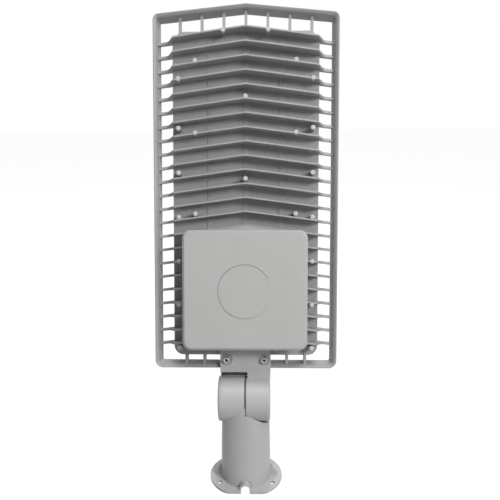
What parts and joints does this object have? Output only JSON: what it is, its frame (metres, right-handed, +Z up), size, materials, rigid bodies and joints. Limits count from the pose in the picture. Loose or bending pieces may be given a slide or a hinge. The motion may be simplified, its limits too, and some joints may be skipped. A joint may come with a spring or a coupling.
{
  "type": "led street light head",
  "caption": "Finned aluminium LED street light head with a driver box, on a toothed tilting knuckle and a flanged tube adapter.",
  "frame": {"origin": "centre of the adapter flange's bottom face, on the tube axis", "axes": "+Z up the adapter tube towards the lamp, -Y towards the finned back of the lamp, +Y the way the panel leans back, X along the tilt axis"},
  "size_m": [0.27, 0.2133, 0.6929],
  "materials": {
    "cast_grey": "satin powder coat on a die casting",
    "cover_grey": "smooth satin powder coat",
    "zinc_steel": "zinc plated",
    "black_steel": "dark plated",
    "seal_rubber": "matt silicone",
    "clear_lens": "clear moulding",
    "clear_glass": "toughened glass",
    "board_white": "white solder mask on a metal core",
    "led_yellow": "phosphor",
    "driver_silver": "plain",
    "block_plastic": "matt",
    "surge_plastic": "matt",
    "gland_plastic": "matt nylon"
  },
  "bodies": {
    "adapter": {"spigot_adapter": "cast_grey", "tilt_bolt": "black_steel", "tilt_washer": "zinc_steel", "tilt_nut": "zinc_steel"},
    "head": {"heat_sink_housing": "cast_grey", "driver_box_cover": "cover_grey", "cover_gasket": "seal_rubber", "cover_screws": "zinc_steel", "led_driver": "driver_silver", "driver_screws": "zinc_steel", "terminal_block": "block_plastic", "terminal_screws": "zinc_steel", "surge_protector": "surge_plastic", "led_board": "board_white", "led_packages": "led_yellow", "lens_plate": "clear_lens", "led_module_screws": "zinc_steel", "front_frame": "cast_grey", "front_glass": "clear_glass", "glass_seal": "seal_rubber", "frame_gasket": "seal_rubber", "front_frame_screws": "zinc_steel", "cable_gland": "gland_plastic", "gland_nut": "gland_plastic", "gland_locknut": "gland_plastic", "knuckle_neck": "cast_grey", "neck_bolts": "zinc_steel", "neck_spring_washers": "zinc_steel", "neck_plain_washers": "zinc_steel"}
  },
  "joints": [
    {"name": "head_tilt", "type": "hinge", "parent": "adapter", "child": "head", "pos_m": [0, 0, 0.1356], "axis": [1, 0, 0], "range_deg": [-75, 15]}
  ]
}
